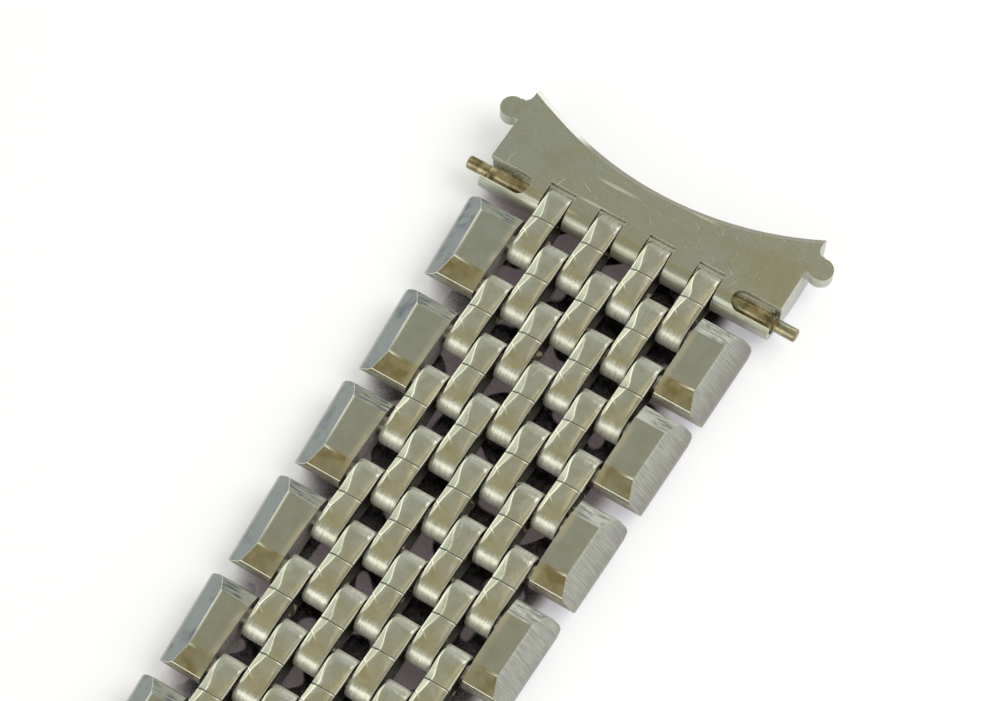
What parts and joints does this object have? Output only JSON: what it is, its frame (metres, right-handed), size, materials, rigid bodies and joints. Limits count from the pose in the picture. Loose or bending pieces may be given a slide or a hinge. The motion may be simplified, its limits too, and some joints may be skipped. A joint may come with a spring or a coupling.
{
  "type": "watch bracelet",
  "caption": "Steel watch bracelet of folded brick links between bevelled side links, with curved hollow end pieces, spring bars and a folding clasp.",
  "frame": {"origin": "middle of the closed clasp, on the plane that the outer faces of the clasp cover and the end pieces lie on", "axes": "+X across the bracelet, +Y along it towards the end piece of the picture, +Z towards the wrist side, which faces up"},
  "size_m": [0.0206, 0.1646, 0.0031],
  "materials": {
    "brushed_steel": "satin, with fine scratches",
    "polished_steel": "polished",
    "aged_steel": "dull and slightly yellowed",
    "spring_steel": "bright drawn wire"
  },
  "bodies": {
    "clasp_cover": {"clasp_cover": "brushed_steel", "clasp_cover_pin": "polished_steel", "clasp_bar_tube": "aged_steel", "clasp_bar_spring": "spring_steel"},
    "clasp_bar_tip_left": {"clasp_bar_tip_left": "aged_steel"},
    "clasp_bar_tip_right": {"clasp_bar_tip_right": "aged_steel"},
    "clasp_outer_blade": {"clasp_outer_blade": "brushed_steel", "clasp_fold_pin": "polished_steel"},
    "clasp_inner_blade": {"clasp_inner_blade": "brushed_steel", "clasp_end_pin": "polished_steel"},
    "north_row_01": {"north_row_01": "brushed_steel"},
    "north_row_02": {"north_row_02": "brushed_steel"},
    "north_row_03": {"north_row_03": "brushed_steel"},
    "north_row_04": {"north_row_04": "brushed_steel"},
    "north_row_05": {"north_row_05": "brushed_steel"},
    "north_row_06": {"north_row_06": "brushed_steel"},
    "north_row_07": {"north_row_07": "brushed_steel"},
    "north_row_08": {"north_row_08": "brushed_steel"},
    "north_row_09": {"north_row_09": "brushed_steel"},
    "north_row_10": {"north_row_10": "brushed_steel"},
    "north_row_11": {"north_row_11": "brushed_steel"},
    "north_row_12": {"north_row_12": "brushed_steel"},
    "north_row_13": {"north_row_13": "brushed_steel"},
    "north_row_14": {"north_row_14": "brushed_steel"},
    "north_row_15": {"north_row_15": "brushed_steel"},
    "north_row_16": {"north_row_16": "brushed_steel"},
    "north_row_17": {"north_row_17": "brushed_steel"},
    "north_row_18": {"north_row_18": "brushed_steel"},
    "north_row_19": {"north_row_19": "brushed_steel"},
    "north_end_piece": {"north_end_piece": "brushed_steel", "north_bar_tube": "aged_steel", "north_bar_spring": "spring_steel"},
    "north_bar_tip_left": {"north_bar_tip_left": "aged_steel"},
    "north_bar_tip_right": {"north_bar_tip_right": "aged_steel"},
    "south_row_01": {"south_row_01": "brushed_steel"},
    "south_row_02": {"south_row_02": "brushed_steel"},
    "south_row_03": {"south_row_03": "brushed_steel"},
    "south_row_04": {"south_row_04": "brushed_steel"},
    "south_row_05": {"south_row_05": "brushed_steel"},
    "south_row_06": {"south_row_06": "brushed_steel"},
    "south_row_07": {"south_row_07": "brushed_steel"},
    "south_row_08": {"south_row_08": "brushed_steel"},
    "south_row_09": {"south_row_09": "brushed_steel"},
    "south_row_10": {"south_row_10": "brushed_steel"},
    "south_row_11": {"south_row_11": "brushed_steel"},
    "south_row_12": {"south_row_12": "brushed_steel"},
    "south_row_13": {"south_row_13": "brushed_steel"},
    "south_row_14": {"south_row_14": "brushed_steel"},
    "south_row_15": {"south_row_15": "brushed_steel"},
    "south_row_16": {"south_row_16": "brushed_steel"},
    "south_row_17": {"south_row_17": "brushed_steel"},
    "south_row_18": {"south_row_18": "brushed_steel"},
    "south_row_19": {"south_row_19": "brushed_steel"},
    "south_end_piece": {"south_end_piece": "brushed_steel", "south_bar_tube": "aged_steel", "south_bar_spring": "spring_steel"},
    "south_bar_tip_left": {"south_bar_tip_left": "aged_steel"},
    "south_bar_tip_right": {"south_bar_tip_right": "aged_steel"}
  },
  "joints": [
    {"name": "clasp_cover_hinge", "type": "hinge", "parent": "clasp_cover", "child": "clasp_outer_blade", "pos_m": [0, -0.0129, 0.00129], "axis": [1, 0, 0], "range_deg": [0, 170]},
    {"name": "clasp_fold_hinge", "type": "hinge", "parent": "clasp_outer_blade", "child": "clasp_inner_blade", "pos_m": [0, 0.0058, 0.0018], "axis": [-1, 0, 0], "range_deg": [0, 170]},
    {"name": "north_pin_19", "type": "hinge", "parent": "clasp_cover", "child": "north_row_19", "pos_m": [0, 0.0159, 0.0016], "axis": [1, 0, 0], "range_deg": [-4, 75]},
    {"name": "north_pin_18", "type": "hinge", "parent": "north_row_19", "child": "north_row_18", "pos_m": [0, 0.0191, 0.0016], "axis": [-1, 0, 0], "range_deg": [-90, 90]},
    {"name": "north_pin_17", "type": "hinge", "parent": "north_row_18", "child": "north_row_17", "pos_m": [0, 0.0223, 0.0016], "axis": [1, 0, 0], "range_deg": [-90, 90]},
    {"name": "north_pin_16", "type": "hinge", "parent": "north_row_17", "child": "north_row_16", "pos_m": [0, 0.0255, 0.0016], "axis": [-1, 0, 0], "range_deg": [-90, 90]},
    {"name": "north_pin_15", "type": "hinge", "parent": "north_row_16", "child": "north_row_15", "pos_m": [0, 0.0287, 0.0016], "axis": [1, 0, 0], "range_deg": [-90, 90]},
    {"name": "north_pin_14", "type": "hinge", "parent": "north_row_15", "child": "north_row_14", "pos_m": [0, 0.0319, 0.0016], "axis": [-1, 0, 0], "range_deg": [-90, 90]},
    {"name": "north_pin_13", "type": "hinge", "parent": "north_row_14", "child": "north_row_13", "pos_m": [0, 0.0351, 0.0016], "axis": [1, 0, 0], "range_deg": [-90, 90]},
    {"name": "north_pin_12", "type": "hinge", "parent": "north_row_13", "child": "north_row_12", "pos_m": [0, 0.0383, 0.0016], "axis": [-1, 0, 0], "range_deg": [-90, 90]},
    {"name": "north_pin_11", "type": "hinge", "parent": "north_row_12", "child": "north_row_11", "pos_m": [0, 0.0415, 0.0016], "axis": [1, 0, 0], "range_deg": [-90, 90]},
    {"name": "north_pin_10", "type": "hinge", "parent": "north_row_11", "child": "north_row_10", "pos_m": [0, 0.0447, 0.0016], "axis": [-1, 0, 0], "range_deg": [-90, 90]},
    {"name": "north_pin_09", "type": "hinge", "parent": "north_row_10", "child": "north_row_09", "pos_m": [0, 0.0479, 0.0016], "axis": [1, 0, 0], "range_deg": [-90, 90]},
    {"name": "north_pin_08", "type": "hinge", "parent": "north_row_09", "child": "north_row_08", "pos_m": [0, 0.0511, 0.0016], "axis": [-1, 0, 0], "range_deg": [-90, 90]},
    {"name": "north_pin_07", "type": "hinge", "parent": "north_row_08", "child": "north_row_07", "pos_m": [0, 0.0543, 0.0016], "axis": [1, 0, 0], "range_deg": [-90, 90]},
    {"name": "north_pin_06", "type": "hinge", "parent": "north_row_07", "child": "north_row_06", "pos_m": [0, 0.0575, 0.0016], "axis": [-1, 0, 0], "range_deg": [-90, 90]},
    {"name": "north_pin_05", "type": "hinge", "parent": "north_row_06", "child": "north_row_05", "pos_m": [0, 0.0607, 0.0016], "axis": [1, 0, 0], "range_deg": [-90, 90]},
    {"name": "north_pin_04", "type": "hinge", "parent": "north_row_05", "child": "north_row_04", "pos_m": [0, 0.0639, 0.0016], "axis": [-1, 0, 0], "range_deg": [-90, 90]},
    {"name": "north_pin_03", "type": "hinge", "parent": "north_row_04", "child": "north_row_03", "pos_m": [0, 0.0671, 0.0016], "axis": [1, 0, 0], "range_deg": [-90, 90]},
    {"name": "north_pin_02", "type": "hinge", "parent": "north_row_03", "child": "north_row_02", "pos_m": [0, 0.0703, 0.0016], "axis": [-1, 0, 0], "range_deg": [-90, 90]},
    {"name": "north_pin_01", "type": "hinge", "parent": "north_row_02", "child": "north_row_01", "pos_m": [0, 0.0735, 0.0016], "axis": [1, 0, 0], "range_deg": [-90, 90]},
    {"name": "north_end_hinge", "type": "hinge", "parent": "north_row_01", "child": "north_end_piece", "pos_m": [0, 0.0767, 0.0016], "axis": [-1, 0, 0], "range_deg": [-60, 60]},
    {"name": "north_tip_left", "type": "slide", "parent": "north_end_piece", "child": "north_bar_tip_left", "axis": [-1, 0, 0], "range_m": [-0.0012, 0], "stiffness_N_per_m": 1200, "springref_m": 0.001, "deforming": ["north_bar_spring"]},
    {"name": "north_tip_right", "type": "slide", "parent": "north_end_piece", "child": "north_bar_tip_right", "axis": [1, 0, 0], "range_m": [-0.0012, 0], "stiffness_N_per_m": 1200, "springref_m": 0.001, "deforming": ["north_bar_spring"]},
    {"name": "south_pin_19", "type": "hinge", "parent": "clasp_inner_blade", "child": "south_row_19", "pos_m": [0, -0.0159, 0.0016], "axis": [-1, 0, 0], "range_deg": [-35, 90]},
    {"name": "south_pin_18", "type": "hinge", "parent": "south_row_19", "child": "south_row_18", "pos_m": [0, -0.0191, 0.0016], "axis": [1, 0, 0], "range_deg": [-90, 90]},
    {"name": "south_pin_17", "type": "hinge", "parent": "south_row_18", "child": "south_row_17", "pos_m": [0, -0.0223, 0.0016], "axis": [-1, 0, 0], "range_deg": [-90, 90]},
    {"name": "south_pin_16", "type": "hinge", "parent": "south_row_17", "child": "south_row_16", "pos_m": [0, -0.0255, 0.0016], "axis": [1, 0, 0], "range_deg": [-90, 90]},
    {"name": "south_pin_15", "type": "hinge", "parent": "south_row_16", "child": "south_row_15", "pos_m": [0, -0.0287, 0.0016], "axis": [-1, 0, 0], "range_deg": [-90, 90]},
    {"name": "south_pin_14", "type": "hinge", "parent": "south_row_15", "child": "south_row_14", "pos_m": [0, -0.0319, 0.0016], "axis": [1, 0, 0], "range_deg": [-90, 90]},
    {"name": "south_pin_13", "type": "hinge", "parent": "south_row_14", "child": "south_row_13", "pos_m": [0, -0.0351, 0.0016], "axis": [-1, 0, 0], "range_deg": [-90, 90]},
    {"name": "south_pin_12", "type": "hinge", "parent": "south_row_13", "child": "south_row_12", "pos_m": [0, -0.0383, 0.0016], "axis": [1, 0, 0], "range_deg": [-90, 90]},
    {"name": "south_pin_11", "type": "hinge", "parent": "south_row_12", "child": "south_row_11", "pos_m": [0, -0.0415, 0.0016], "axis": [-1, 0, 0], "range_deg": [-90, 90]},
    {"name": "south_pin_10", "type": "hinge", "parent": "south_row_11", "child": "south_row_10", "pos_m": [0, -0.0447, 0.0016], "axis": [1, 0, 0], "range_deg": [-90, 90]},
    {"name": "south_pin_09", "type": "hinge", "parent": "south_row_10", "child": "south_row_09", "pos_m": [0, -0.0479, 0.0016], "axis": [-1, 0, 0], "range_deg": [-90, 90]},
    {"name": "south_pin_08", "type": "hinge", "parent": "south_row_09", "child": "south_row_08", "pos_m": [0, -0.0511, 0.0016], "axis": [1, 0, 0], "range_deg": [-90, 90]},
    {"name": "south_pin_07", "type": "hinge", "parent": "south_row_08", "child": "south_row_07", "pos_m": [0, -0.0543, 0.0016], "axis": [-1, 0, 0], "range_deg": [-90, 90]},
    {"name": "south_pin_06", "type": "hinge", "parent": "south_row_07", "child": "south_row_06", "pos_m": [0, -0.0575, 0.0016], "axis": [1, 0, 0], "range_deg": [-90, 90]},
    {"name": "south_pin_05", "type": "hinge", "parent": "south_row_06", "child": "south_row_05", "pos_m": [0, -0.0607, 0.0016], "axis": [-1, 0, 0], "range_deg": [-90, 90]},
    {"name": "south_pin_04", "type": "hinge", "parent": "south_row_05", "child": "south_row_04", "pos_m": [0, -0.0639, 0.0016], "axis": [1, 0, 0], "range_deg": [-90, 90]},
    {"name": "south_pin_03", "type": "hinge", "parent": "south_row_04", "child": "south_row_03", "pos_m": [0, -0.0671, 0.0016], "axis": [-1, 0, 0], "range_deg": [-90, 90]},
    {"name": "south_pin_02", "type": "hinge", "parent": "south_row_03", "child": "south_row_02", "pos_m": [0, -0.0703, 0.0016], "axis": [1, 0, 0], "range_deg": [-90, 90]},
    {"name": "south_pin_01", "type": "hinge", "parent": "south_row_02", "child": "south_row_01", "pos_m": [0, -0.0735, 0.0016], "axis": [-1, 0, 0], "range_deg": [-90, 90]},
    {"name": "south_end_hinge", "type": "hinge", "parent": "south_row_01", "child": "south_end_piece", "pos_m": [0, -0.0767, 0.0016], "axis": [1, 0, 0], "range_deg": [-60, 60]},
    {"name": "south_tip_left", "type": "slide", "parent": "south_end_piece", "child": "south_bar_tip_left", "axis": [-1, 0, 0], "range_m": [-0.0012, 0], "stiffness_N_per_m": 1200, "springref_m": 0.001, "deforming": ["south_bar_spring"]},
    {"name": "south_tip_right", "type": "slide", "parent": "south_end_piece", "child": "south_bar_tip_right", "axis": [1, 0, 0], "range_m": [-0.0012, 0], "stiffness_N_per_m": 1200, "springref_m": 0.001, "deforming": ["south_bar_spring"]},
    {"name": "clasp_tip_left", "type": "slide", "parent": "clasp_cover", "child": "clasp_bar_tip_left", "axis": [-1, 0, 0], "range_m": [-0.0006, 0], "stiffness_N_per_m": 1200, "springref_m": 0.001, "deforming": ["clasp_bar_spring"]},
    {"name": "clasp_tip_right", "type": "slide", "parent": "clasp_cover", "child": "clasp_bar_tip_right", "axis": [1, 0, 0], "range_m": [-0.0006, 0], "stiffness_N_per_m": 1200, "springref_m": 0.001, "deforming": ["clasp_bar_spring"]}
  ],
  "couplings": [
    {"joint": "clasp_fold_hinge", "follows": "clasp_cover_hinge", "ratio": 1}
  ]
}
